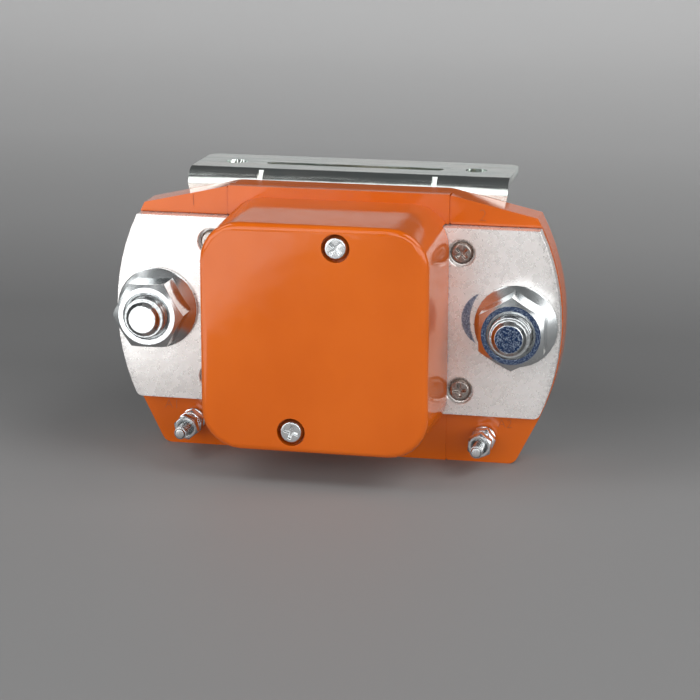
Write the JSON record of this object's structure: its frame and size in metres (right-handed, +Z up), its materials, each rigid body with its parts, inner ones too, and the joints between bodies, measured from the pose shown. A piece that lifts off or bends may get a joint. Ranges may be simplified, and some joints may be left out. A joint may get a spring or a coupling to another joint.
{
  "type": "high voltage dc contactor",
  "caption": "High voltage dc contactor with moulded base, box shaped arc cover, stud terminals, coil studs and a folded mounting bracket over its magnet frame.",
  "frame": {"origin": "middle of the overall box, at the height of the base's lower edge, on which it stands", "axes": "-Y is the front, towards the terminals and the arc cover; +Y towards the magnet frame; +Z up, towards the bracket's shelf; +X towards terminal 2"},
  "size_m": [0.1104, 0.0854, 0.0685],
  "materials": {
    "orange_moulding": "glossy moulded, through coloured",
    "silver_plate": "matt silver plated copper",
    "bright_zinc": "bright zinc plated steel",
    "zinc_sheet": "zinc plated sheet steel",
    "frame_steel": "zinc plated soft iron",
    "stainless": "plain stainless steel",
    "copper": "bare copper",
    "brass": "plain brass",
    "black_moulding": "fine matt moulding",
    "polyester_tape": "satin tape",
    "bush_polymer": "matt moulded",
    "magnet": "dark sintered ferrite"
  },
  "bodies": {
    "housing": {"contact_base": "orange_moulding", "arc_cover": "orange_moulding", "terminal_plate_left": "silver_plate", "terminal_plate_right": "silver_plate", "terminal_stud_left": "bright_zinc", "terminal_stud_right": "bright_zinc", "flange_nut_left": "bright_zinc", "flange_nut_right": "bright_zinc", "plate_screw_left_upper": "bright_zinc", "plate_screw_left_lower": "bright_zinc", "plate_screw_right_upper": "bright_zinc", "plate_screw_right_lower": "bright_zinc", "cover_screw_upper": "bright_zinc", "cover_screw_lower": "bright_zinc", "frame_screw_left_upper": "bright_zinc", "frame_screw_left_lower": "bright_zinc", "frame_screw_right_upper": "bright_zinc", "frame_screw_right_lower": "bright_zinc", "coil_stud_left": "bright_zinc", "coil_stud_right": "bright_zinc", "coil_base_washer_left": "bright_zinc", "coil_base_washer_right": "bright_zinc", "coil_lower_nut_left": "bright_zinc", "coil_lower_nut_right": "bright_zinc", "coil_washer_left": "bright_zinc", "coil_washer_right": "bright_zinc", "coil_spring_washer_left": "bright_zinc", "coil_spring_washer_right": "bright_zinc", "coil_nut_left": "bright_zinc", "coil_nut_right": "bright_zinc", "coil_tag_left": "brass", "coil_tag_right": "brass", "mounting_bracket": "zinc_sheet", "pole_plate": "frame_steel", "yoke": "frame_steel", "coil_bobbin": "black_moulding", "coil_winding": "copper", "coil_wrap": "polyester_tape", "fixed_core": "frame_steel", "plunger_sleeve": "brass", "guide_bush": "bush_polymer", "arc_magnet_upper": "magnet", "arc_magnet_lower": "magnet", "fixed_tip_left": "silver_plate", "fixed_tip_right": "silver_plate", "return_spring": "stainless"},
    "armature": {"plunger": "frame_steel", "plunger_rod": "stainless", "rod_clip": "bright_zinc", "spring_cup": "bright_zinc", "contact_spring": "stainless"},
    "bridge": {"bridge_contact": "copper", "moving_tip_left": "silver_plate", "moving_tip_right": "silver_plate"}
  },
  "joints": [
    {"name": "armature_slide", "type": "slide", "parent": "housing", "child": "armature", "axis": [0, 1, 0], "range_m": [0, 0.003], "stiffness_N_per_m": 800, "springref_m": -0.004, "deforming": ["return_spring"]},
    {"name": "bridge_slide", "type": "slide", "parent": "armature", "child": "bridge", "axis": [0, -1, 0], "range_m": [0, 0.0008], "deforming": ["contact_spring"]}
  ],
  "couplings": [
    {"joint": "bridge_slide", "follows": "armature_slide", "ratio": 0.2666}
  ]
}
